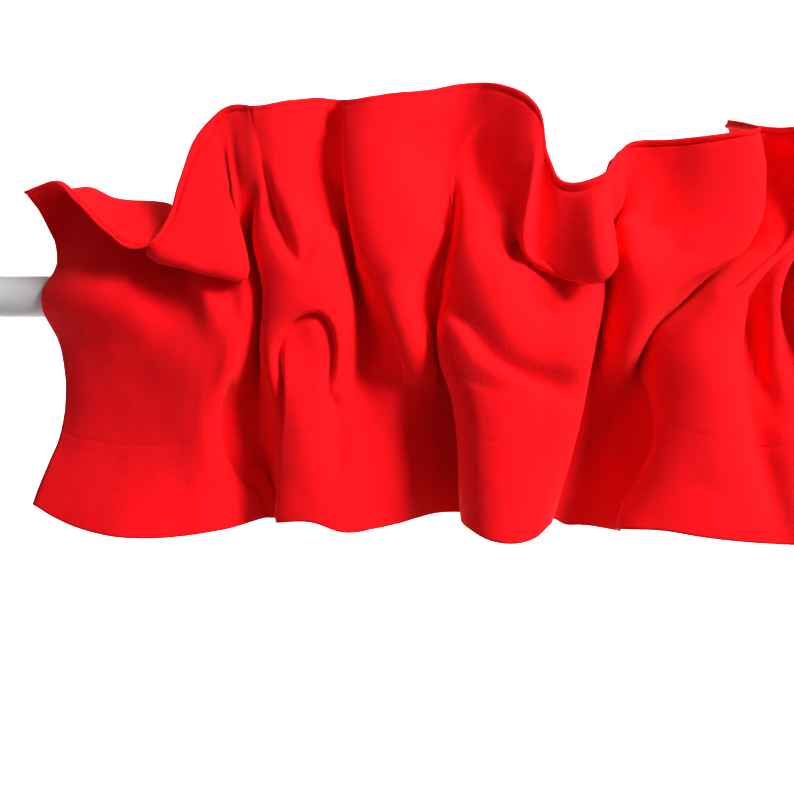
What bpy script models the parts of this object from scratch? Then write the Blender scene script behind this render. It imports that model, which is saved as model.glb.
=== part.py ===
"""A rod-pocket window valance gathered on its curtain rod.

Frame: +X runs along the rod to the right, +Y points away from the viewer to the wall, +Z is up.
The origin is the centre of the rod's left end face. Sizes below are in millimetres.

The valance is one doubled cloth with a channel sewn across it. Above the channel stands the ruffled
header, below it hangs the skirt, and the rod runs between the channel's front and back layers.
FOLDS gives the hanging shape: each row is one thread line of the cloth, from the header's top edge
down to the hem, through the stations that the row's fields name.
"""

import math
from collections import namedtuple
from functools import lru_cache

import bmesh
import bpy
from mathutils import Vector

MM = 0.001

# Rod
ROD_DIAMETER = 28.0
ROD_LENGTH = 780.0
ROD_SIDES = 48
ROD_EDGE_BEVEL = 1.0

# Cloth: heights are measured on the flat cloth, down from the header's top edge.
CLOTH_THICKNESS = 1.8
FLAT_HEIGHT = 300.0
HEADER_HEIGHT = 94.0
POCKET_HEIGHT = 142.0
ROD_LEVEL_Z = 0.0
BELLY_Z = -38.0
WAIST_Z = -70.0

# The pocket's back layer, behind the rod: its flat heights, and how it stands off the rod.
BACK_HEIGHT = (94.0, 116.0, 144.0, 184.0, 220.0, 236.0)
STITCH_REACH = 16.0
STITCH_GAP = 5.0
SLOPE_STEP = 3.0
OVER_ROD_Y = 6.0
OVER_ROD_Z = 14.9
BACK_NEAREST = 19.5
BACK_FOLD_SHARE = 0.45
BACK_BELLY_SHARE = 0.4
BACK_BELLY_GAP = 10.0
DEEPEST_CREST = -88.0

# Mesh of the cloth: columns along the rod, rows of faces in the header, the pocket's front and the
# skirt, and the heights of the back layer's rows, closest where it bends over the rod.
COLUMNS = 128
HEADER_ROWS = 5
POCKET_ROWS = 7
SKIRT_ROWS = 3
MERGE_DISTANCE = 0.1
BACK_LINES = (94.0, 105.0, 116.0, 130.0, 144.0, 184.0, 220.0, 236.0)

# How round the folds are between their thread lines: 1 is an even bend, more fills the bends out.
FULLNESS = 1.2

Fold = namedtuple("Fold", "top mid seam rod belly waist hem")

# One row a thread line, left to right. top, mid, seam and hem are x, y, z; rod, belly and waist are
# x, y at their own fixed heights. y grows more negative towards the viewer.
FOLDS = (
    # the left side edge and the broad panel, under the header's rolled left end
    Fold((51, -22, 68), (61, -10, 50), (70, -12, 22), (62, -18), (74, -14), (76, -12), (57, -24, -139)),
    Fold((71, -30, 73), (70, -6, 62), (80, -18, 24), (76, -32), (84, -22), (87, -20), (76, -34, -148)),
    Fold((92, -48, 58), (86, -6, 71), (92, -24, 26), (95, -44), (100, -30), (105, -28), (98, -42, -155)),
    Fold((114, -60, 37), (110, -10, 63), (116, -26, 28), (124, -48), (128, -40), (131, -38), (132, -48, -159)),
    Fold((131, -68, 26), (146, -14, 57), (136, -22, 31), (152, -38), (155, -49), (154, -46), (158, -42, -158)),
    # the leaf that rises from the lip and bags over the pocket
    Fold((143, -66, 30), (144, -66, 22), (150, -20, 32), (162, -40), (167, -52), (165, -50), (174, -38, -156)),
    Fold((152, -58, 45), (162, -70, 16), (160, -11, 33), (175, -54), (182, -55), (175, -52), (188, -30, -154)),
    Fold((158, -50, 70), (182, -66, 9), (172, -12, 35), (190, -48), (193, -57), (183, -50), (200, -18, -151)),
    Fold((173, -36, 109), (198, -60, 6), (186, -14, 36), (201, -52), (198, -50), (188, -40), (208, -12, -149)),
    Fold((187, -34, 121), (196, -41, 54), (195, -32, 36), (205, -46), (202, -36), (192, -28), (211, -8, -149)),
    Fold((195, -37, 122), (203, -45, 62), (202, -14, 39), (211, -18), (207, -18), (200, -14), (215, -4, -149)),
    # the tube beside it, with the leaf's right ridge above and a narrow finger below
    Fold((205, -42, 120), (212, -52, 66), (210, -55, 39), (217, -61), (216, -56), (223, -56), (220, -46, -149)),
    Fold((227, -44, 123), (229, -53, 73), (234, -61, 40), (238, -66), (238, -54), (240, -58), (241, -52, -148)),
    Fold((244, -34, 127), (243, -43, 78), (254, -48, 43), (261, -56), (262, -56), (259, -50), (264, -50, -155)),
    Fold((252, -25, 129), (253, -24, 84), (262, -20, 44), (271, -22), (276, -26), (272, -40), (284, -42, -153)),
    # the leaf that narrows to a funnel at the rod
    Fold((265, -38, 125), (267, -48, 84), (272, -54, 41), (287, -56), (300, -50), (296, -40), (300, -34, -150)),
    Fold((292, -46, 127), (290, -54, 84), (296, -60, 43), (303, -62), (311, -58), (308, -30), (311, -18, -148)),
    Fold((318, -40, 131), (317, -42, 88), (322, -52, 45), (310, -50), (318, -50), (321, -14), (325, -6, -146)),
    Fold((338, -30, 137), (332, -28, 90), (332, -26, 46), (323, -26), (324, -24), (329, -6), (338, 0, -146)),
    # the big middle fold, under the header's low lip
    Fold((366, -40, 134), (350, -38, 72), (342, -52, 48), (335, -66), (331, -76), (342, -76), (344, -66, -151)),
    Fold((385, -50, 121), (368, -48, 59), (362, -54, 36), (358, -82), (352, -86), (358, -83), (358, -74, -158)),
    Fold((395, -48, 85), (382, -64, 17), (384, -44, 33), (388, -68), (388, -84), (390, -79), (380, -68, -158)),
    Fold((403, -56, 69), (403, -72, 5), (409, -36, 36), (415, -58), (414, -78), (411, -69), (394, -54, -150)),
    Fold((423, -66, 70), (425, -84, 9), (426, -30, 38), (427, -50), (422, -50), (418, -44), (397, -18, -150)),
    Fold((437, -50, 86), (440, -26, 48), (437, -14, 41), (435, -20), (430, -20), (428, 0), (406, 8, -152)),
    # the square leaf right of the slit
    Fold((450, -32, 98), (449, -36, 56), (446, -58, 34), (445, -57), (438, -44), (437, 2), (414, 15, -156)),
    Fold((475, -40, 99), (468, -44, 62), (462, -54, 31), (456, -63), (446, -50), (444, 2), (423, 12, -156)),
    Fold((503, -50, 100), (499, -56, 60), (492, -58, 22), (471, -61), (453, -44), (450, 0), (431, -6, -155)),
    Fold((526, -50, 103), (530, -54, 70), (523, -52, 34), (483, -50), (457, -28), (456, -4), (438, -30, -154)),
    Fold((523, 0, 119), (536, -2, 80), (532, -12, 42), (491, -17), (459, -16), (462, -16), (446, -48, -153)),
    # the fold beside it, with a narrow groove down its right side
    Fold((548, -4, 114), (552, -8, 76), (541, -28, 39), (498, -46), (466, -50), (469, -50), (464, -56, -153)),
    Fold((562, -30, 109), (560, -24, 73), (547, -44, 36), (508, -60), (483, -64), (484, -62), (492, -60, -157)),
    Fold((574, -44, 107), (567, -34, 73), (553, -44, 35), (519, -60), (513, -62), (513, -62), (530, -58, -161)),
    Fold((586, -30, 109), (575, -30, 74), (558, -40, 36), (529, -38), (524, -36), (524, -42), (544, -56, -162)),
    Fold((596, -18, 111), (583, -20, 74), (564, -34, 38), (539, -52), (541, -48), (543, -52), (556, -58, -162)),
    Fold((604, -6, 112), (592, -8, 76), (572, -14, 40), (551, -18), (556, -34), (560, -50), (572, -46, -159)),
    # the plain right end
    Fold((620, -44, 116), (606, -46, 78), (580, -50, 40), (574, -62), (580, -60), (582, -58), (590, -52, -157)),
    Fold((634, -8, 122), (622, -6, 80), (604, -10, 42), (598, -18), (602, -22), (606, -26), (612, -14, -152)),
    Fold((650, -46, 120), (642, -50, 80), (628, -52, 40), (622, -64), (624, -60), (628, -54), (634, -46, -156)),
    Fold((667, -6, 120), (660, -4, 80), (650, -10, 42), (646, -18), (648, -20), (650, -18), (656, -8, -150)),
    Fold((685, -44, 116), (680, -48, 78), (674, -50, 38), (670, -62), (672, -58), (674, -52), (682, -44, -156)),
    Fold((702, -10, 112), (698, -8, 76), (696, -10, 38), (694, -18), (696, -22), (696, -20), (700, -12, -151)),
    Fold((718, -22, 106), (714, -20, 70), (710, -18, 35), (708, -32), (709, -30), (709, -26), (715, -22, -151)),
    Fold((734, -16, 99), (728, -12, 66), (724, -9, 31), (722, -18), (722, -18), (721, -16), (729, -14, -148)),
)


def clear_scene():
    for thing in list(bpy.data.objects):
        bpy.data.objects.remove(thing, do_unlink=True)


def material(name, colour, roughness):
    made = bpy.data.materials.new(name)
    made.use_nodes = True
    shader = made.node_tree.nodes["Principled BSDF"]
    shader.inputs["Base Color"].default_value = (*colour, 1.0)
    shader.inputs["Roughness"].default_value = roughness
    shader.inputs["Metallic"].default_value = 0.0
    return made


def heading(points, i):
    """The direction in which the curve passes point i: the nearer neighbour counts for more. It is
    shorter than 1 where the curve turns, which keeps a tight bend from looping."""
    before = points[i] - points[max(i - 1, 0)]
    after = points[min(i + 1, len(points) - 1)] - points[i]
    if not before.length or not after.length:
        return (before + after).normalized()
    return (before.normalized() * after.length + after.normalized() * before.length) / (
        before.length + after.length
    )


def spline(points, t):
    """The point at t on a smooth curve through points, where t = 2.5 is in the middle of the span from
    the third to the fourth."""
    i = min(int(t), len(points) - 2)
    s = t - i
    start, end = points[i], points[i + 1]
    reach = FULLNESS * (end - start).length
    return (
        start * (1 + 2 * s) * (1 - s) ** 2
        + heading(points, i) * reach * s * (1 - s) ** 2
        + end * s * s * (3 - 2 * s)
        - heading(points, i + 1) * reach * s * s * (1 - s)
    )


def station_points(fold):
    """The seven points of one thread line, from the header's top edge to the hem."""
    return [
        Vector(fold.top),
        Vector(fold.mid),
        Vector(fold.seam),
        Vector((*fold.rod, ROD_LEVEL_Z)),
        Vector((*fold.belly, BELLY_Z)),
        Vector((*fold.waist, WAIST_Z)),
        Vector(fold.hem),
    ]


THREADS = [station_points(fold) for fold in FOLDS]
STATION_LINES = list(zip(*THREADS))
SEAM, ROD, BELLY = (Fold._fields.index(name) for name in ("seam", "rod", "belly"))


def flat_positions():
    """How far along the flat cloth each thread line lies, from the left side edge."""
    along = [0.0]
    for left, right in zip(THREADS, THREADS[1:]):
        gaps = [(b - a).length for a, b in zip(left, right)]
        along.append(along[-1] + sum(gaps) / len(gaps))
    return along


FLAT = flat_positions()
FLAT_WIDTH = FLAT[-1]


def place_in(values, wanted):
    """The fractional index at which the rising list of values reaches the wanted one."""
    for i in range(len(values) - 1):
        if wanted <= values[i + 1]:
            return i + (wanted - values[i]) / (values[i + 1] - values[i])
    return len(values) - 1.0


@lru_cache(maxsize=None)
def thread_at(along):
    """The thread line at a flat place: its points at the stations, and their flat heights. The heights
    follow the distances between the points, drawn out or in so that the seam and the hem keep theirs."""
    row = place_in(FLAT, along)
    points = [spline(line, row) for line in STATION_LINES]
    reached = [0.0]
    for upper, lower in zip(points, points[1:]):
        reached.append(reached[-1] + (lower - upper).length)
    above, below = reached[SEAM], reached[-1] - reached[SEAM]
    heights = [HEADER_HEIGHT * length / above for length in reached[:SEAM]]
    heights += [
        HEADER_HEIGHT + (FLAT_HEIGHT - HEADER_HEIGHT) * (length - above) / below for length in reached[SEAM:]
    ]
    return points, heights


def front(along, down):
    """The hanging place of the cloth's middle, from its place on the flat cloth."""
    points, heights = thread_at(along)
    return spline(points, place_in(heights, down))


def behind_wall(along, down, gap):
    """The point held a gap behind the front layer, square to its folds."""
    before, after = front(along - SLOPE_STEP, down), front(along + SLOPE_STEP, down)
    across = Vector((before.y - after.y, after.x - before.x, 0)).normalized()
    return front(along, down) + across * gap


def back(along, down):
    """The pocket's back layer: sewn to the front at both seams, and held off it by the rod between. It
    folds away from the rod where the front layer sinks to it."""
    thread, _ = thread_at(along)
    seam, rod, belly = thread[SEAM], thread[ROD], thread[BELLY]
    stand_off = BACK_NEAREST + BACK_FOLD_SHARE * (rod.y - DEEPEST_CREST)
    points = [
        seam,
        Vector((0.5 * (seam.x + rod.x), OVER_ROD_Y, OVER_ROD_Z)),
        Vector((rod.x, stand_off, ROD_LEVEL_Z)),
        Vector((belly.x, stand_off + BACK_BELLY_SHARE * (belly.y - stand_off) + BACK_BELLY_GAP, BELLY_Z)),
        behind_wall(along, HEADER_HEIGHT + POCKET_HEIGHT - STITCH_REACH, STITCH_GAP),
        front(along, HEADER_HEIGHT + POCKET_HEIGHT),
    ]
    return spline(points, place_in(BACK_HEIGHT, down))


def spaced(start, end, count):
    return [start + (end - start) * i / count for i in range(count + 1)]


def sheet(columns, heights, surface):
    """An open sheet: a grid whose vertices are moved to where the cloth hangs."""
    made = bmesh.new()
    rows = len(heights) - 1
    bmesh.ops.create_grid(made, x_segments=columns, y_segments=rows, size=0.5)
    for vertex in made.verts:
        along = (vertex.co.x + 0.5) * FLAT_WIDTH
        down = heights[round((0.5 - vertex.co.y) * rows)]
        vertex.co = surface(along, down) * MM
    return made


def join(target, other):
    """Moves the other bmesh's geometry into the target."""
    passing = bpy.data.meshes.new("passing")
    other.to_mesh(passing)
    target.from_mesh(passing)
    other.free()
    bpy.data.meshes.remove(passing)


def build_cloth(collection):
    upper = spaced(0.0, HEADER_HEIGHT, HEADER_ROWS)
    middle = spaced(HEADER_HEIGHT, HEADER_HEIGHT + POCKET_HEIGHT, POCKET_ROWS)
    lower = spaced(HEADER_HEIGHT + POCKET_HEIGHT, FLAT_HEIGHT, SKIRT_ROWS)
    cloth = sheet(COLUMNS, upper + middle[1:] + lower[1:], front)
    join(cloth, sheet(COLUMNS, BACK_LINES, back))
    bmesh.ops.remove_doubles(cloth, verts=cloth.verts, dist=MERGE_DISTANCE * MM)
    mesh = bpy.data.meshes.new("valance_cloth")
    cloth.to_mesh(mesh)
    cloth.free()
    mesh.materials.append(material("red cotton twill", (0.72, 0.006, 0.012), 0.85))
    mesh.shade_smooth()
    made = bpy.data.objects.new("valance_cloth", mesh)
    collection.objects.link(made)
    wall = made.modifiers.new("thickness", "SOLIDIFY")
    wall.solidify_mode = "NON_MANIFOLD"
    wall.nonmanifold_boundary_mode = "FLAT"
    wall.nonmanifold_thickness_mode = "FIXED"
    wall.thickness = CLOTH_THICKNESS * MM
    wall.offset = 0.0
    return made


def build_rod(collection):
    bpy.ops.mesh.primitive_cylinder_add(
        vertices=ROD_SIDES,
        radius=ROD_DIAMETER / 2 * MM,
        depth=ROD_LENGTH * MM,
        location=(ROD_LENGTH / 2 * MM, 0.0, 0.0),
        rotation=(0.0, math.pi / 2, 0.0),
    )
    made = bpy.context.object
    made.name = "curtain_rod"
    for holder in list(made.users_collection):
        holder.objects.unlink(made)
    collection.objects.link(made)
    made.data.materials.append(material("grey-white painted metal", (0.58, 0.58, 0.56), 0.45))
    edge = made.modifiers.new("end edges", "BEVEL")
    edge.width = ROD_EDGE_BEVEL * MM
    edge.segments = 2
    edge.limit_method = "ANGLE"
    made.data.shade_smooth()
    return made


def main():
    clear_scene()
    parts = bpy.data.collections.new("window valance on a curtain rod")
    bpy.context.scene.collection.children.link(parts)
    build_rod(parts)
    build_cloth(parts)


main()
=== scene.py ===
"""A rod-pocket window valance, gathered on the curtain rod that carries it.

Frame: +X along the rod to the right, +Y away from the viewer, +Z up, in metres.
"""

import math
from collections import namedtuple
from functools import lru_cache

import bmesh
import bpy
from mathutils import Matrix, Vector, noise


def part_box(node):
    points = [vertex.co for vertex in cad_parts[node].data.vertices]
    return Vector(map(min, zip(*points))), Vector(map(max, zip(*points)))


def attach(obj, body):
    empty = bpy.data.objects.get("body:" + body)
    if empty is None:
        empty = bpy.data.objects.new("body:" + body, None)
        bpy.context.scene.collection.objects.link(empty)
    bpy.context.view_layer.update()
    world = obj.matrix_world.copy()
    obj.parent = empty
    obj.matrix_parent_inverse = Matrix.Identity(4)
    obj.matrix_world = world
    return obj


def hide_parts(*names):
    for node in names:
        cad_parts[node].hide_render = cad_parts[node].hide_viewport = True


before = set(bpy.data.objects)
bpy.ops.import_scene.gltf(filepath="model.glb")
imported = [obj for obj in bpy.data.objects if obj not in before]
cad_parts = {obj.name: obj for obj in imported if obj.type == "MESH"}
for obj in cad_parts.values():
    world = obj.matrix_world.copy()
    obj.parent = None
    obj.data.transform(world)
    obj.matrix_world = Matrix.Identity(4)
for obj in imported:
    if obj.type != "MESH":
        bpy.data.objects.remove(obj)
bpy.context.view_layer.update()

# ---------------------------------------------------------------------------------------------------
# The curtain rod
# A thin-walled steel tube, rolled and painted a matt light grey, cut square at both ends with the
# edges broken. It rests in a bracket at each end and carries the cloth's pocket along its length.

MM = 0.001
ROD_SIDES = 128
ROD_EDGE = 1.0 * MM
ROD_EDGE_STEPS = 4
PAINT_DARK = (0.55, 0.55, 0.545, 1)
PAINT_LIGHT = (0.62, 0.62, 0.61, 1)
PAINT_GRAIN = 900.0
PAINT_CLOUD = 14.0
PAINT_BUMP = 0.06 * MM


class Value:
    """A node's output that takes part in Python sums: each sum adds its Math node."""

    def __init__(self, finish, socket):
        self.finish = finish
        self.socket = socket

    def math(self, operation, *others):
        inputs = dict(enumerate((self, *others)))
        return self.finish.node("ShaderNodeMath", {"operation": operation}, inputs)

    def __add__(self, other):
        return self.math("ADD", other)

    def __mul__(self, other):
        return self.math("MULTIPLY", other)

    __radd__ = __add__
    __rmul__ = __mul__

    def sine(self):
        return self.math("SINE")

    def clamped(self):
        return self.finish.node("ShaderNodeClamp", {}, {0: self})


class Finish:
    """A material with one Principled shader. Numbers and colours go on the shader's own sockets, and
    node() makes every other node."""

    def __init__(self, name, **sockets):
        self.material = bpy.data.materials.new(name)
        self.material.use_nodes = True
        self.tree = self.material.node_tree
        self.shader = self.tree.nodes["Principled BSDF"]
        for label, value in sockets.items():
            self.shader.inputs[label.replace("_", " ")].default_value = value

    def node(self, kind, settings, inputs, output=0):
        made = self.tree.nodes.new(kind)
        for name, value in settings.items():
            setattr(made, name, value)
        for label, value in inputs.items():
            if isinstance(value, Value):
                self.tree.links.new(value.socket, made.inputs[label])
            else:
                made.inputs[label].default_value = value
        return Value(self, made.outputs[output])

    def feed(self, label, value):
        self.tree.links.new(value.socket, self.shader.inputs[label])

    def noise(self, place, scale, detail=2.0):
        """Soft noise with about scale lumps to the metre."""
        return self.node("ShaderNodeTexNoise", {}, {"Vector": place, "Scale": scale, "Detail": detail})

    def between(self, factor, low, high):
        """The colour between low and high at the factor."""
        return self.node("ShaderNodeMix", {"data_type": "RGBA"}, {0: factor, 6: low, 7: high}, output=2)

    def bump(self, height, depth):
        self.feed("Normal", self.node("ShaderNodeBump", {}, {"Height": height, "Distance": depth}))


def painted_steel():
    """Light grey paint with a fine orange-peel grain and a faint cloud in its colour."""
    finish = Finish("painted_steel", Metallic=0.0, Specular_IOR_Level=0.4)
    place = finish.node("ShaderNodeTexCoord", {}, {}, output="Object")
    grain = finish.noise(place, PAINT_GRAIN)
    cloud = finish.noise(place, PAINT_CLOUD)
    finish.feed("Base Color", finish.between(cloud, PAINT_DARK, PAINT_LIGHT))
    finish.feed("Roughness", grain * 0.12 + 0.44)
    finish.bump(grain, PAINT_BUMP)
    return finish.material


def linked(name, mesh_data, material):
    """A finished mesh as an object of the scene."""
    mesh = bpy.data.meshes.new(name)
    mesh_data.to_mesh(mesh)
    mesh_data.free()
    mesh.materials.append(material)
    mesh.shade_smooth()
    made = bpy.data.objects.new(name, mesh)
    bpy.context.scene.collection.objects.link(made)
    return made


def shown(name, mesh_data, material):
    """A finished mesh as a piece of the part, riding with it."""
    made = linked(name, mesh_data, material)
    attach(made, "root")
    return made


def rod_tube():
    """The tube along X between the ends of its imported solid, with both rims rounded."""
    low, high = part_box("curtain_rod")
    tube = bmesh.new()
    bmesh.ops.create_cone(
        tube,
        cap_ends=True,
        segments=ROD_SIDES,
        radius1=(high.z - low.z) / 2,
        radius2=(high.z - low.z) / 2,
        depth=high.x - low.x,
    )
    bmesh.ops.rotate(tube, verts=tube.verts, matrix=Matrix.Rotation(math.pi / 2, 3, "Y"))
    bmesh.ops.translate(tube, verts=tube.verts, vec=(low + high) / 2)
    ends = [face for face in tube.faces if len(face.verts) == ROD_SIDES]
    rims = [edge for edge in tube.edges if any(face in ends for face in edge.link_faces)]
    bmesh.ops.bevel(
        tube,
        geom=rims,
        offset=ROD_EDGE,
        segments=ROD_EDGE_STEPS,
        profile=0.5,
        affect="EDGES",
        material=-1,
    )
    return tube


rod = shown("painted_rod", rod_tube(), painted_steel())
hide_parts("curtain_rod")


# ---------------------------------------------------------------------------------------------------
# The valance cloth
# One piece of red cotton twill, doubled over at the top and sewn across twice, so that the rod runs
# in the channel between the two lines of stitches. The header above ruffles, the skirt below flares.

# Millimetres. A height on the flat cloth runs down from its folded top edge. FULLNESS is how far the
# smooth curves swing out between their points.
ROD_LEVEL_Z = 0.0
BELLY_Z = -38.0
WAIST_Z = -70.0
FLAT_HEIGHT = 300.0
UPPER_SEAM = 94.0
LOWER_SEAM = 236.0
FULLNESS = 1.2

# One row a thread line of the hanging cloth, in millimetres, from left to right. Top, mid, seam and
# hem are x, y, z; rod, belly and waist are x, y at their own fixed heights.
STATIONS = ("top", "mid", "seam", "rod", "belly", "waist", "hem")
SEAM, ROD, BELLY = (STATIONS.index(name) for name in ("seam", "rod", "belly"))
FOLDS = (
    # the left side edge and the broad panel, under the header's rolled left end
    ((51, -22, 68), (61, -10, 50), (70, -12, 22), (62, -18), (74, -14), (76, -12), (57, -24, -139)),
    ((71, -30, 73), (70, -6, 62), (80, -18, 24), (76, -32), (84, -22), (87, -20), (76, -34, -148)),
    ((92, -48, 58), (86, -6, 71), (92, -24, 26), (95, -44), (100, -30), (105, -28), (98, -42, -155)),
    ((114, -60, 37), (110, -10, 63), (116, -26, 28), (124, -48), (128, -40), (131, -38), (132, -48, -159)),
    ((131, -68, 26), (146, -14, 57), (136, -22, 31), (152, -38), (155, -49), (154, -46), (158, -42, -158)),
    # the leaf that rises from the lip and bags over the pocket
    ((143, -66, 30), (144, -66, 22), (150, -20, 32), (162, -40), (167, -52), (165, -50), (174, -38, -156)),
    ((152, -58, 45), (162, -70, 16), (160, -11, 33), (175, -54), (182, -55), (175, -52), (188, -30, -154)),
    ((158, -50, 70), (182, -66, 9), (172, -12, 35), (190, -48), (193, -57), (183, -50), (200, -18, -151)),
    ((173, -36, 109), (198, -60, 6), (186, -14, 36), (201, -52), (198, -50), (188, -40), (208, -12, -149)),
    ((187, -34, 121), (196, -41, 54), (195, -32, 36), (205, -46), (202, -36), (192, -28), (211, -8, -149)),
    ((195, -37, 122), (203, -45, 62), (202, -14, 39), (211, -18), (207, -18), (200, -14), (215, -4, -149)),
    # the tube beside it, with the leaf's right ridge above and a narrow finger below
    ((205, -42, 120), (212, -52, 66), (210, -55, 39), (217, -61), (216, -56), (223, -56), (220, -46, -149)),
    ((227, -44, 123), (229, -53, 73), (234, -61, 40), (238, -66), (238, -54), (240, -58), (241, -52, -148)),
    ((244, -34, 127), (243, -43, 78), (254, -48, 43), (261, -56), (262, -56), (259, -50), (264, -50, -155)),
    ((252, -25, 129), (253, -24, 84), (262, -20, 44), (271, -22), (276, -26), (272, -40), (284, -42, -153)),
    # the leaf that narrows to a funnel at the rod
    ((265, -38, 125), (267, -48, 84), (272, -54, 41), (287, -56), (300, -50), (296, -40), (300, -34, -150)),
    ((292, -46, 127), (290, -54, 84), (296, -60, 43), (303, -62), (311, -58), (308, -30), (311, -18, -148)),
    ((318, -40, 131), (317, -42, 88), (322, -52, 45), (310, -50), (318, -50), (321, -14), (325, -6, -146)),
    ((338, -30, 137), (332, -28, 90), (332, -26, 46), (323, -26), (324, -24), (329, -6), (338, 0, -146)),
    # the big middle fold, under the header's low lip
    ((366, -40, 134), (350, -38, 72), (342, -52, 48), (335, -66), (331, -76), (342, -76), (344, -66, -151)),
    ((385, -50, 121), (368, -48, 59), (362, -54, 36), (358, -82), (352, -86), (358, -83), (358, -74, -158)),
    ((395, -48, 85), (382, -64, 17), (384, -44, 33), (388, -68), (388, -84), (390, -79), (380, -68, -158)),
    ((403, -56, 69), (403, -72, 5), (409, -36, 36), (415, -58), (414, -78), (411, -69), (394, -54, -150)),
    ((423, -66, 70), (425, -84, 9), (426, -30, 38), (427, -50), (422, -50), (418, -44), (397, -18, -150)),
    ((437, -50, 86), (440, -26, 48), (437, -14, 41), (435, -20), (430, -20), (428, 0), (406, 8, -152)),
    # the square leaf right of the slit
    ((450, -32, 98), (449, -36, 56), (446, -58, 34), (445, -57), (438, -44), (437, 2), (414, 15, -156)),
    ((475, -40, 99), (468, -44, 62), (462, -54, 31), (456, -63), (446, -50), (444, 2), (423, 12, -156)),
    ((503, -50, 100), (499, -56, 60), (492, -58, 22), (471, -61), (453, -44), (450, 0), (431, -6, -155)),
    ((526, -50, 103), (530, -54, 70), (523, -52, 34), (483, -50), (457, -28), (456, -4), (438, -30, -154)),
    ((523, 0, 119), (536, -2, 80), (532, -12, 42), (491, -17), (459, -16), (462, -16), (446, -48, -153)),
    # the fold beside it, with a narrow groove down its right side
    ((548, -4, 114), (552, -8, 76), (541, -28, 39), (498, -46), (466, -50), (469, -50), (464, -56, -153)),
    ((562, -30, 109), (560, -24, 73), (547, -44, 36), (508, -60), (483, -64), (484, -62), (492, -60, -157)),
    ((574, -44, 107), (567, -34, 73), (553, -44, 35), (519, -60), (513, -62), (513, -62), (530, -58, -161)),
    ((586, -30, 109), (575, -30, 74), (558, -40, 36), (529, -38), (524, -36), (524, -42), (544, -56, -162)),
    ((596, -18, 111), (583, -20, 74), (564, -34, 38), (539, -52), (541, -48), (543, -52), (556, -58, -162)),
    ((604, -6, 112), (592, -8, 76), (572, -14, 40), (551, -18), (556, -34), (560, -50), (572, -46, -159)),
    # the plain right end
    ((620, -44, 116), (606, -46, 78), (580, -50, 40), (574, -62), (580, -60), (582, -58), (590, -52, -157)),
    ((634, -8, 122), (622, -6, 80), (604, -10, 42), (598, -18), (602, -22), (606, -26), (612, -14, -152)),
    ((650, -46, 120), (642, -50, 80), (628, -52, 40), (622, -64), (624, -60), (628, -54), (634, -46, -156)),
    ((667, -6, 120), (660, -4, 80), (650, -10, 42), (646, -18), (648, -20), (650, -18), (656, -8, -150)),
    ((685, -44, 116), (680, -48, 78), (674, -50, 38), (670, -62), (672, -58), (674, -52), (682, -44, -156)),
    ((702, -10, 112), (698, -8, 76), (696, -10, 38), (694, -18), (696, -22), (696, -20), (700, -12, -151)),
    ((718, -22, 106), (714, -20, 70), (710, -18, 35), (708, -32), (709, -30), (709, -26), (715, -22, -151)),
    ((734, -16, 99), (728, -12, 66), (724, -9, 31), (722, -18), (722, -18), (721, -16), (729, -14, -148)),
)


def heading(points, i):
    """The direction of the curve at point i, where the nearer neighbour counts for more."""
    before = points[i] - points[max(i - 1, 0)]
    after = points[min(i + 1, len(points) - 1)] - points[i]
    if not before.length or not after.length:
        return (before + after).normalized()
    return (before.normalized() * after.length + after.normalized() * before.length) / (
        before.length + after.length
    )


def spline(points, t):
    """The point at t on a smooth curve through points, where t = 2.5 is halfway from the third on."""
    i = min(int(t), len(points) - 2)
    s = t - i
    start, end = points[i], points[i + 1]
    reach = FULLNESS * (end - start).length
    return (
        start * (1 + 2 * s) * (1 - s) ** 2
        + heading(points, i) * reach * s * (1 - s) ** 2
        + end * s * s * (3 - 2 * s)
        - heading(points, i + 1) * reach * s * s * (1 - s)
    )


def station_points(fold):
    """A thread line's points, with their fixed heights where its row leaves them out."""
    top, mid, seam, rod_point, belly, waist, hem = fold
    return [
        Vector(top),
        Vector(mid),
        Vector(seam),
        Vector((*rod_point, ROD_LEVEL_Z)),
        Vector((*belly, BELLY_Z)),
        Vector((*waist, WAIST_Z)),
        Vector(hem),
    ]


THREADS = [station_points(fold) for fold in FOLDS]
STATION_LINES = list(zip(*THREADS))


def flat_positions():
    """How far along the flat cloth each thread line lies, from the left side edge."""
    along = [0.0]
    for left, right in zip(THREADS, THREADS[1:]):
        gaps = [(b - a).length for a, b in zip(left, right)]
        along.append(along[-1] + sum(gaps) / len(gaps))
    return along


FLAT = flat_positions()
FLAT_WIDTH = FLAT[-1]


def place_in(values, wanted):
    """The fractional index at which the rising list of values reaches the wanted one."""
    for i in range(len(values) - 1):
        if wanted <= values[i + 1]:
            return i + (wanted - values[i]) / (values[i + 1] - values[i])
    return len(values) - 1.0


def along_at(row):
    """The flat place of a fractional thread line."""
    i = min(int(row), len(FLAT) - 2)
    return FLAT[i] + (row - i) * (FLAT[i + 1] - FLAT[i])


@lru_cache(maxsize=None)
def thread_at(along):
    """The hanging thread line at a flat place: its points at the stations, and their flat heights,
    which follow the distances between them, drawn out or in so that the seam and the hem keep theirs."""
    row = place_in(FLAT, along)
    points = [spline(line, row) for line in STATION_LINES]
    reached = [0.0]
    for upper, lower in zip(points, points[1:]):
        reached.append(reached[-1] + (lower - upper).length)
    above, below = reached[SEAM], reached[-1] - reached[SEAM]
    under_seam = FLAT_HEIGHT - UPPER_SEAM
    heights = [UPPER_SEAM * length / above for length in reached[:SEAM]]
    heights += [UPPER_SEAM + under_seam * (length - above) / below for length in reached[SEAM:]]
    return points, heights


def hanging(along, down):
    """Where the folds carry a point of the flat cloth, before its creases."""
    points, heights = thread_at(along)
    return spline(points, place_in(heights, down))


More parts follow.
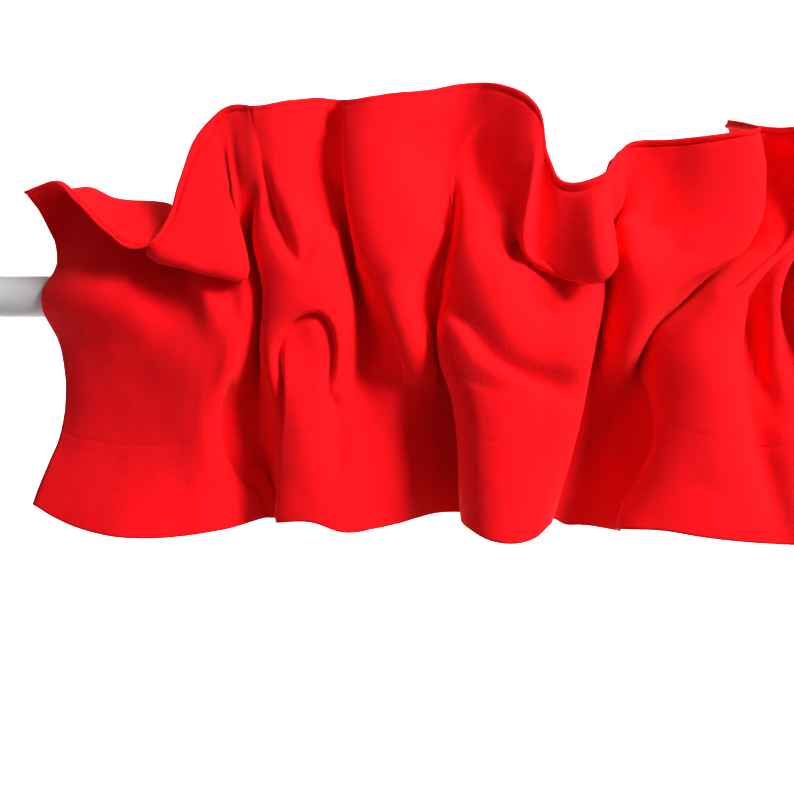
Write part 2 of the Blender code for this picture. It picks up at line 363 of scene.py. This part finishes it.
# Creases pressed into the folds. Each runs through route, points of thread line and flat
# height, and sinks by depth (or stands up, where depth is negative), falling off over the widths on
# its left and right as seen along the route, in millimetres. Past CREASE_REACH times the wider of
# them it has died away. A lower END_FADE keeps its depth up nearer to its two ends.
Crease = namedtuple("Crease", "route depth left right")
CREASE_REACH = 2.6
END_FADE = 0.6
CREASES = (
    # the soft hollow low in the broad panel, beside the finger, which runs out above the hem
    Crease(((8.6, 205), (8.4, 225), (8.2, 251), (7.8, 282)), 9.0, 9.0, 16.0),
    Crease(((9.7, 262), (9.7, 290), (9.7, 325)), -8.0, 12.0, 12.0),
    # the leaf over the tube: the trough round its pointed lower end, and the dip at its right
    Crease(
        (
            (10.9, 45),
            (11.1, 64),
            (11.3, 79),
            (11.57, 95),
            (11.76, 112),
            (12.0, 120),
            (12.25, 112),
            (12.38, 100),
        ),
        depth=6.5,
        left=5.0,
        right=4.0,
    ),
    Crease(((11.75, 62), (11.9, 82), (12.0, 104)), -3.5, 6.0, 6.0),
    Crease(((13.5, 25), (13.3, 48), (13.0, 66), (12.95, 82), (13.1, 98)), 10.0, 10.0, 4.0),
    # the mouth of the narrow finger in the tube: an arch, sharp outside and soft inside
    Crease(
        (
            (11.42, 178),
            (11.6, 168),
            (11.8, 161),
            (12.05, 157),
            (12.3, 156),
            (12.5, 159),
            (12.68, 168),
            (12.77, 180),
            (12.78, 195),
            (12.7, 212),
        ),
        depth=8.0,
        left=1.8,
        right=6.0,
    ),
    Crease(
        ((11.5, 172), (11.36, 182), (11.22, 196), (11.04, 212), (10.9, 230), (10.85, 246)),
        depth=12.0,
        left=1.7,
        right=3.6,
    ),
    Crease(((10.7, 200), (10.72, 225), (10.72, 255), (10.75, 290), (10.8, 330)), 8.0, 5.0, 12.0),
    Crease(((12.7, 208), (12.95, 214), (13.2, 222)), 4.0, 4.0, 4.0),
    # the valley on the left of the widest leaf, undercut, and the one on its right, open lower down
    Crease(((14.4, -40), (14.4, 20), (14.4, 70), (14.4, 120)), 7.0, 7.0, 12.0),
    Crease(((18.0, 50), (18.0, 110), (18.0, 190)), -7.0, 6.0, 6.0),
    # the soft hollow down the middle of that leaf, and the flare under its funnel
    Crease(((16.9, 18), (16.95, 45), (17.0, 75), (17.0, 98)), 6.0, 20.0, 10.0),
    Crease(((15.3, 135), (15.45, 165), (15.6, 186), (15.7, 206)), -9.0, 14.0, 8.0),
    Crease(((18.4, 42), (18.9, 60), (19.4, 69), (19.9, 70), (20.4, 62)), 10.0, 18.0, 12.0),
    # the left side of the header's low lip, sloping back, and the short crease under it
    Crease(((20.95, 4), (20.95, 24), (21.0, 45), (21.2, 64)), 11.0, 16.0, 5.0),
    Crease(((22.9, 4), (22.95, 20), (22.95, 40), (22.8, 58)), -7.0, 5.0, 16.0),
    Crease(((20.5, 128), (20.9, 143), (21.3, 153), (21.7, 158)), 4.0, 4.0, 5.0),
    # the slanting trough across the big middle fold
    Crease(((18.8, 155), (19.5, 168), (20.1, 184), (20.8, 199), (21.7, 212), (22.6, 224)), 8.0, 13.0, 4.5),
    # the same fold's left side, standing out below the waist
    Crease(((19.3, 205), (19.3, 235), (19.3, 262), (19.3, 305)), -4.0, 25.0, 8.0),
    # the slit beside that fold, held off the rod, and the deep hollow it opens into
    Crease(((24.4, 95), (24.4, 118), (24.45, 140), (24.5, 165)), -3.5, 3.5, 3.5),
    Crease(
        ((28.6, 205), (28.9, 225), (28.9, 245), (28.5, 265), (28.0, 280), (27.6, 300), (27.5, 330)),
        depth=13.0,
        left=9.0,
        right=26.0,
    ),
    # the square leaf, tilted to the left, with its dent; the deep valley on its right; and the groove
    # down the right side of the fold beside it
    Crease(((25.8, 0), (25.9, 22), (25.9, 50), (25.9, 84)), 7.0, 26.0, 10.0),
    Crease(((25.2, 54), (25.7, 72), (26.2, 88), (26.6, 97)), 4.0, 8.0, 6.0),
    Crease(((30.6, 12), (30.6, 34), (30.7, 60), (30.95, 95), (31.0, 125), (31.0, 150)), 14.0, 16.0, 12.0),
    Crease(((32.2, 140), (33.1, 160), (33.3, 188), (33.6, 208), (33.8, 224)), 6.0, 8.0, 3.0),
)


class Groove:
    """A crease laid out on the flat cloth."""

    def __init__(self, crease):
        self.crease = crease
        self.route = [Vector((along_at(row), height)) for row, height in crease.route]
        self.length = sum((b - a).length for a, b in zip(self.route, self.route[1:]))
        reach = CREASE_REACH * max(crease.left, crease.right)
        self.low = [min(point[axis] for point in self.route) - reach for axis in (0, 1)]
        self.high = [max(point[axis] for point in self.route) + reach for axis in (0, 1)]

    def depth(self, along, down):
        """How far it sinks the cloth here: soft to each side, and fading at its two ends."""
        if not (self.low[0] < along < self.high[0] and self.low[1] < down < self.high[1]):
            return 0.0
        here = Vector((along, down))
        nearest = None
        travelled = 0.0
        for a, b in zip(self.route, self.route[1:]):
            step = b - a
            t = max(0.0, min(1.0, (here - a).dot(step) / step.length_squared))
            off = here - (a + step * t)
            if nearest is None or off.length < nearest[0]:
                side = step.x * off.y - step.y * off.x
                nearest = (off.length, side, (travelled + t * step.length) / self.length)
            travelled += step.length
        distance, side, share = nearest
        width = self.crease.left if side < 0 else self.crease.right
        ends = max(0.0, math.sin(math.pi * share)) ** END_FADE
        return self.crease.depth * ends * math.exp(-((distance / width) ** 2))


GROOVES = [Groove(crease) for crease in CREASES]


# The sewing: a topstitched line just inside the header's folded edge, and the channel's two seams.
# Each draws the cloth in along a narrow groove, with small puckers on both sides, and the folded
# layers stand up in a round bead between the groove and the edge.
Seam = namedtuple("Seam", "line groove puckers")
EDGE_SEAM = Seam(3.4, 1.8, 0.55)
CHANNEL_SEAMS = (Seam(UPPER_SEAM, 0.35, 0.35), Seam(LOWER_SEAM, 0.30, 0.30))
GROOVE_WIDTH = 1.2
PUCKER_REACH = 7.0
PUCKER_LENGTH = 6.0
EDGE_BEAD = 1.2
EDGE_BEAD_AT = 0.4 * EDGE_SEAM.line
LEFT_LIP_END = along_at(9)
RIGHT_LIP_START = along_at(19.7)
EASING = 25.0
SLACK_STRETCH = 0.75


def edge_pull(along):
    """How tight the edge's stitches are drawn, at most 1: they are slack between the header's lips."""
    slack = max(0.0, min(1.0, (along - LEFT_LIP_END) / EASING, (RIGHT_LIP_START - along) / EASING))
    return 1.0 - SLACK_STRETCH * slack


def sewn_depth(along, down):
    """How far the stitches sink the cloth here, less the bead that stands up along the edge."""
    pull = edge_pull(along)
    total = -EDGE_BEAD * pull * math.exp(-(((down - EDGE_BEAD_AT) / GROOVE_WIDTH) ** 2))
    for seam, drawn in ((EDGE_SEAM, pull), *((channel, 1.0) for channel in CHANNEL_SEAMS)):
        off = abs(down - seam.line)
        if off < 3 * PUCKER_REACH:
            pucker = noise.noise(Vector((along / PUCKER_LENGTH, seam.line, 0.0)))
            total += drawn * seam.groove * math.exp(-((off / GROOVE_WIDTH) ** 2))
            total += seam.puckers * pucker * math.exp(-((off / PUCKER_REACH) ** 2))
    return total


SOFT_WAVE = 0.9
SOFT_WAVE_LENGTH = 38.0
SOFT_WAVE_START = 3.0
SMALL_WAVE_SHARE = 0.3
SMALL_WAVES = 2.7


def soft_depth(along, down):
    """The slight unevenness of cloth that has been folded and put up."""
    here = Vector((along / SOFT_WAVE_LENGTH, down / SOFT_WAVE_LENGTH, SOFT_WAVE_START))
    return SOFT_WAVE * noise.noise(here) + SMALL_WAVE_SHARE * SOFT_WAVE * noise.noise(here * SMALL_WAVES)


def sunk(along, down):
    """How far the front of the cloth lies under its folds' smooth surface."""
    creased = sum(groove.depth(along, down) for groove in GROOVES)
    return creased + sewn_depth(along, down) + soft_depth(along, down)


def on_cloth(along, down):
    """A point of the hung cloth with its creases, and the direction that faces out of it."""
    here = hanging(along, down)
    right = hanging(min(along + 1.0, FLAT_WIDTH), down) - hanging(max(along - 1.0, 0.0), down)
    below = hanging(along, min(down + 1.0, FLAT_HEIGHT)) - hanging(along, max(down - 1.0, 0.0))
    out = below.cross(right).normalized()
    return here - out * sunk(along, down), out


def spaced(start, end, step):
    """Even places about a step apart, from start up to the end but without it."""
    count = max(1, round((end - start) / step))
    return [start + (end - start) * i / count for i in range(count)]


def flat_grid(columns, heights):
    """A grid of the flat cloth: each vertex holds its place along and down in x and -y."""
    made = bmesh.new()
    bmesh.ops.create_grid(made, x_segments=len(columns) - 1, y_segments=len(heights) - 1, size=0.5)
    for vertex in made.verts:
        column = round((vertex.co.x + 0.5) * (len(columns) - 1))
        row = round((0.5 - vertex.co.y) * (len(heights) - 1))
        vertex.co = Vector((columns[column], -heights[row], 0.0))
    return made


def hang(sheet, surface, depth):
    """Moves a flat grid to where it hangs, keeps its flat place as its UV map, in metres, and sinks
    it along its normals."""
    flat = {vertex: (vertex.co.x, -vertex.co.y) for vertex in sheet.verts}
    uv = sheet.loops.layers.uv.new("flat")
    for face in sheet.faces:
        for loop in face.loops:
            along, down = flat[loop.vert]
            loop[uv].uv = (along * MM, -down * MM)
    for vertex, place in flat.items():
        vertex.co = surface(*place) * MM
    sheet.normal_update()
    outward = {vertex: vertex.normal.copy() for vertex in sheet.verts}
    for vertex, place in flat.items():
        vertex.co -= outward[vertex] * depth(*place) * MM


# The spacing of the mesh: closer round the finger's arch, at the folded edge and at both seams.
SEEN_COLUMN = 2.8
PLAIN_COLUMN = 5.5
FIRST_PLAIN_ROW = 36
ARCH_ROWS = (10.8, 13.1)
ARCH_COLUMN = 1.3
ARCH_TOP = 150.0
ARCH_END = 214.0
ARCH_ROW = 1.8
CLOTH_ROW = 3.6
FINE_ROW = 1.3
EDGE_ROW = 0.8
EDGE_BAND = 8.0
SEAM_BAND = 4.0
HEM_BAND = 3.0
CLOTH_THICKNESS = 1.7


def front_sheet():
    """The cloth as it is seen: header, front of the pocket, and skirt."""
    arch_left, arch_right = (along_at(row) for row in ARCH_ROWS)
    plain = along_at(FIRST_PLAIN_ROW)
    columns = (
        spaced(0.0, arch_left, SEEN_COLUMN)
        + spaced(arch_left, arch_right, ARCH_COLUMN)
        + spaced(arch_right, plain, SEEN_COLUMN)
        + spaced(plain, FLAT_WIDTH, PLAIN_COLUMN)
        + [FLAT_WIDTH]
    )
    heights = (
        spaced(0.0, EDGE_BAND, EDGE_ROW)
        + spaced(EDGE_BAND, UPPER_SEAM - SEAM_BAND, CLOTH_ROW)
        + spaced(UPPER_SEAM - SEAM_BAND, UPPER_SEAM + SEAM_BAND, FINE_ROW)
        + spaced(UPPER_SEAM + SEAM_BAND, ARCH_TOP, CLOTH_ROW)
        + spaced(ARCH_TOP, ARCH_END, ARCH_ROW)
        + spaced(ARCH_END, LOWER_SEAM - SEAM_BAND, CLOTH_ROW)
        + spaced(LOWER_SEAM - SEAM_BAND, LOWER_SEAM + SEAM_BAND, FINE_ROW)
        + spaced(LOWER_SEAM + SEAM_BAND, FLAT_HEIGHT - HEM_BAND, CLOTH_ROW)
        + spaced(FLAT_HEIGHT - HEM_BAND, FLAT_HEIGHT, FINE_ROW)
        + [FLAT_HEIGHT]
    )
    sheet = flat_grid(columns, heights)
    hang(sheet, hanging, sunk)
    return sheet


# The twill: slanting ribs, the yarns that cross in them, and loose lint, in a slightly cloudy red.
RED_DARK = (0.84, 0.0010, 0.0040, 1)
RED_LIGHT = (0.96, 0.0040, 0.010, 1)
RIB_PITCH = 1.0 * MM
RIB_SLOPE = math.radians(58)
YARN_PITCH = 0.55 * MM
LINT_SCALE = 1400.0
CLOUD_SCALE = 22.0
CLOUD_DETAIL = 3.0
WEAVE_BUMP = 0.15 * MM


def red_twill():
    """Dyed cotton twill, whose weave follows the cloth's own flat map."""
    finish = Finish(
        "red_twill",
        Metallic=0.0,
        Specular_IOR_Level=0.12,
        Sheen_Weight=0.06,
        Sheen_Roughness=0.4,
        Sheen_Tint=(1.0, 0.2, 0.18, 1),
    )
    flat = finish.node("ShaderNodeUVMap", {"uv_map": "flat"}, {})
    u = finish.node("ShaderNodeSeparateXYZ", {}, {0: flat}, output=0)
    v = finish.node("ShaderNodeSeparateXYZ", {}, {0: flat}, output=1)
    turn = 2 * math.pi
    rib_turns_u = math.sin(RIB_SLOPE) * turn / RIB_PITCH
    rib_turns_v = -math.cos(RIB_SLOPE) * turn / RIB_PITCH
    rib = (u * rib_turns_u + v * rib_turns_v).sine()
    yarn = (u * (turn / YARN_PITCH)).sine() * (v * (turn / YARN_PITCH)).sine()
    lint = finish.noise(flat, LINT_SCALE)
    cloud = finish.noise(flat, CLOUD_SCALE, CLOUD_DETAIL)
    height = rib * 0.5 + yarn * 0.2 + lint * 0.6
    shade = (rib * 0.10 + yarn * 0.05 + lint * 0.5 + cloud * 0.5).clamped()
    finish.feed("Base Color", finish.between(shade, RED_DARK, RED_LIGHT))
    finish.feed("Roughness", lint * 0.15 + 0.78)
    finish.bump(height, WEAVE_BUMP)
    return finish.material


cloth_finish = red_twill()
cloth = shown("valance_sheet", front_sheet(), cloth_finish)
thickness = cloth.modifiers.new("doubled cloth", "SOLIDIFY")
thickness.thickness = CLOTH_THICKNESS * MM
thickness.offset = 0.0
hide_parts("valance_cloth")


# ---------------------------------------------------------------------------------------------------
# The pocket's back layer
# The turned-down half of the same cloth. It leaves the front at the upper seam, passes over and
# behind the rod, and is caught again in the lower seam.

# Millimetres. OVER_ROD is where the layer crosses the rod's top, in y and z. Behind the rod it stands
# off by BACK_NEAREST and more, as far as it shares in the front's folds, whose deepest crest is
# DEEPEST_CREST in y.
STITCH_REACH = 16.0
BACK_HEIGHTS = (UPPER_SEAM, 116.0, 144.0, 184.0, LOWER_SEAM - STITCH_REACH, LOWER_SEAM)
STITCH_GAP = 5.0
SLOPE_STEP = 3.0
OVER_ROD = (6.0, 14.9)
BACK_NEAREST = 19.5
BACK_FOLD_SHARE = 0.45
DEEPEST_CREST = -88.0
BACK_BELLY_SHARE = 0.4
BACK_BELLY_GAP = 10.0
BACK_COLUMN = 4.2
BACK_ROW = 4.4
BACK_THICKNESS = 1.2


def behind_front(along, down, gap):
    """A point of the creased front, moved back by a gap, square to the way the folds run."""
    before, after = hanging(along - SLOPE_STEP, down), hanging(along + SLOPE_STEP, down)
    across = Vector((before.y - after.y, after.x - before.x, 0)).normalized()
    return on_cloth(along, down)[0] + across * gap


@lru_cache(maxsize=None)
def back_thread(along):
    """The back layer's points at one flat place, sewn to the front with all its creases."""
    thread, _ = thread_at(along)
    rod_point, belly = thread[ROD], thread[BELLY]
    stand_off = BACK_NEAREST + BACK_FOLD_SHARE * (rod_point.y - DEEPEST_CREST)
    seam = on_cloth(along, UPPER_SEAM)[0]
    belly_y = belly.y * BACK_BELLY_SHARE + stand_off * (1 - BACK_BELLY_SHARE) + BACK_BELLY_GAP
    return [
        seam,
        Vector((0.5 * (seam.x + rod_point.x), *OVER_ROD)),
        Vector((rod_point.x, stand_off, ROD_LEVEL_Z)),
        Vector((belly.x, belly_y, BELLY_Z)),
        behind_front(along, LOWER_SEAM - STITCH_REACH, STITCH_GAP),
        on_cloth(along, LOWER_SEAM)[0],
    ]


def back_layer(along, down):
    """Where the back layer carries a point of the flat cloth."""
    return spline(back_thread(along), place_in(BACK_HEIGHTS, down))


def back_sheet():
    """The turned-down half between the two seams."""
    columns = spaced(0.0, FLAT_WIDTH, BACK_COLUMN) + [FLAT_WIDTH]
    heights = spaced(UPPER_SEAM, LOWER_SEAM, BACK_ROW) + [LOWER_SEAM]
    sheet = flat_grid(columns, heights)
    hang(sheet, back_layer, soft_depth)
    return sheet


pocket_back = shown("pocket_back", back_sheet(), cloth_finish)
thickness = pocket_back.modifiers.new("single cloth", "SOLIDIFY")
thickness.thickness = BACK_THICKNESS * MM
thickness.offset = 0.0


# ---------------------------------------------------------------------------------------------------
# The stitches
# Red sewing thread in a straight lockstitch, lying in the groove that it draws into the cloth: one
# line along the header's folded edge, and one along each seam of the channel.

STITCH_LENGTH = 2.6
STITCH_PITCH = 3.3
THREAD_RADIUS = 0.4
STITCH_INSET = 3.0
STITCH_LIFT = 0.5 * CLOTH_THICKNESS - 0.5 * THREAD_RADIUS
THREAD_DARK = (0.70, 0.002, 0.006, 1)
THREAD_LIGHT = (0.85, 0.004, 0.010, 1)
FUZZ_SCALE = 2500.0
FUZZ_BUMP = 0.05 * MM


def sewing_thread():
    """A fine thread, a little darker than the cloth."""
    finish = Finish("sewing_thread", Specular_IOR_Level=0.12, Roughness=0.7)
    place = finish.node("ShaderNodeTexCoord", {}, {}, output="Object")
    fuzz = finish.noise(place, FUZZ_SCALE)
    finish.feed("Base Color", finish.between(fuzz, THREAD_DARK, THREAD_LIGHT))
    finish.bump(fuzz, FUZZ_BUMP)
    return finish.material


def one_stitch():
    """A stitch lying along X, as a mesh to copy."""
    bead = bmesh.new()
    bmesh.ops.create_uvsphere(bead, u_segments=6, v_segments=5, radius=1.0)
    bmesh.ops.scale(bead, verts=bead.verts, vec=(STITCH_LENGTH / 2, THREAD_RADIUS, THREAD_RADIUS))
    mesh = bpy.data.meshes.new("one_stitch")
    bead.to_mesh(mesh)
    bead.free()
    return mesh


def stitch_row(down):
    """A line of stitches lying on the front of the cloth, all at one height of the flat cloth."""
    template = one_stitch()
    count = int((FLAT_WIDTH - 2 * STITCH_INSET) / STITCH_PITCH)
    row = bmesh.new()
    places = []
    for i in range(count):
        row.from_mesh(template)
        along = STITCH_INSET + i * STITCH_PITCH
        start, out = on_cloth(along, down)
        end, _ = on_cloth(along + STITCH_LENGTH, down)
        run = (end - start).normalized()
        places.append(((start + end) / 2 + out * STITCH_LIFT, run, out.cross(run).normalized(), out))
    for index, vertex in enumerate(row.verts):
        middle, run, side, out = places[index // len(template.vertices)]
        local = vertex.co.copy()
        vertex.co = (middle + run * local.x + side * local.y + out * local.z) * MM
    bpy.data.meshes.remove(template)
    bmesh.ops.recalc_face_normals(row, faces=row.faces)
    return row


thread_finish = sewing_thread()
seams = [
    shown(name, stitch_row(down), thread_finish)
    for name, down in (
        ("edge_stitches", EDGE_SEAM.line),
        ("upper_seam_stitches", UPPER_SEAM),
        ("lower_seam_stitches", LOWER_SEAM),
    )
]
FLAT_WIDTH * MM


# ---------------------------------------------------------------------------------------------------
# The studio
# A pale paper sweep under and behind the part, one large soft light from the right and above, and
# two soft lights on the sweep itself.

FLOOR_Z = -0.9
SWEEP_FRONT = -2.4
SWEEP_BACK = 2.2
SWEEP_RADIUS = 0.8
SWEEP_WIDTH = 9.0
WALL_HEIGHT = 3.2
SWEEP_STEPS = 48
PAPER_DARK = (0.90, 0.90, 0.90, 1)
PAPER_LIGHT = (0.93, 0.93, 0.93, 1)
PAPER_GRAIN = 300.0


def paper_sweep():
    """A floor that curves up into a wall behind the part."""
    paper = bmesh.new()
    bmesh.ops.create_grid(paper, x_segments=1, y_segments=SWEEP_STEPS, size=0.5)
    flat_run = SWEEP_BACK - SWEEP_FRONT - SWEEP_RADIUS
    arc = SWEEP_RADIUS * math.pi / 2
    for vertex in paper.verts:
        travelled = (vertex.co.y + 0.5) * (flat_run + arc + WALL_HEIGHT)
        x = vertex.co.x * SWEEP_WIDTH
        if travelled < flat_run:
            vertex.co = (x, SWEEP_FRONT + travelled, FLOOR_Z)
        elif travelled < flat_run + arc:
            turn = (travelled - flat_run) / SWEEP_RADIUS
            vertex.co = (
                x,
                SWEEP_BACK - SWEEP_RADIUS + SWEEP_RADIUS * math.sin(turn),
                FLOOR_Z + SWEEP_RADIUS * (1 - math.cos(turn)),
            )
        else:
            vertex.co = (x, SWEEP_BACK, FLOOR_Z + SWEEP_RADIUS + travelled - flat_run - arc)
    return paper


def pale_paper():
    """A matt off-white paper with a fine grain."""
    finish = Finish("pale_paper", Roughness=0.9, Specular_IOR_Level=0.1)
    place = finish.node("ShaderNodeTexCoord", {}, {}, output="Object")
    grain = finish.noise(place, PAPER_GRAIN)
    finish.feed("Base Color", finish.between(grain, PAPER_DARK, PAPER_LIGHT))
    return finish.material


sweep = linked("paper_sweep", paper_sweep(), pale_paper())


def soft_light(name, place, aim, size, power, spread):
    """A square lamp, size metres across, whose light keeps within spread degrees."""
    lamp = bpy.data.lights.new(name, "AREA")
    lamp.shape = "SQUARE"
    lamp.size = size
    lamp.energy = power
    lamp.spread = math.radians(spread)
    light = bpy.data.objects.new(name, lamp)
    light.location = place
    light.rotation_euler = (Vector(aim) - Vector(place)).to_track_quat("-Z", "Y").to_euler()
    bpy.context.scene.collection.objects.link(light)


soft_light("key", place=(1.7, -1.2, 0.95), aim=(0.3, 0.0, -0.03), size=1.0, power=7.5, spread=45.0)
for name, x, aim_x in (("sweep_left", -1.0, 0.1), ("sweep_right", 1.6, 0.5)):
    soft_light(name, place=(x, 0.6, 1.0), aim=(aim_x, SWEEP_BACK, -0.3), size=1.2, power=45.0, spread=110.0)

ROOM_LIGHT = 0.25
world = bpy.data.worlds.new("studio")
world.use_nodes = True
background = world.node_tree.nodes["Background"]
background.inputs["Color"].default_value = (1, 1, 1, 1)
background.inputs["Strength"].default_value = ROOM_LIGHT
bpy.context.scene.world = world
bpy.context.scene.view_settings.view_transform = "Standard"

# The camera looks level and square to the rod, from the height of the cloth's waist. The frame's
# width is taken in the plane of the rod.
VIEW_DISTANCE = 0.9
VIEW_CENTRE_X = 0.2973
VIEW_CENTRE_Z = -0.068
FRAME_PIXELS = 794
PIXEL_AT_ROD = 0.678 * MM
FRAME_WIDTH = FRAME_PIXELS * PIXEL_AT_ROD
camera_data = bpy.data.cameras.new("camera")
camera_data.sensor_fit = "HORIZONTAL"
camera_data.angle = 2 * math.atan(FRAME_WIDTH / 2 / VIEW_DISTANCE)
camera = bpy.data.objects.new("camera", camera_data)
camera.location = (VIEW_CENTRE_X, -VIEW_DISTANCE, VIEW_CENTRE_Z)
camera.rotation_euler = (math.pi / 2, 0, 0)
bpy.context.scene.collection.objects.link(camera)
bpy.context.scene.camera = camera
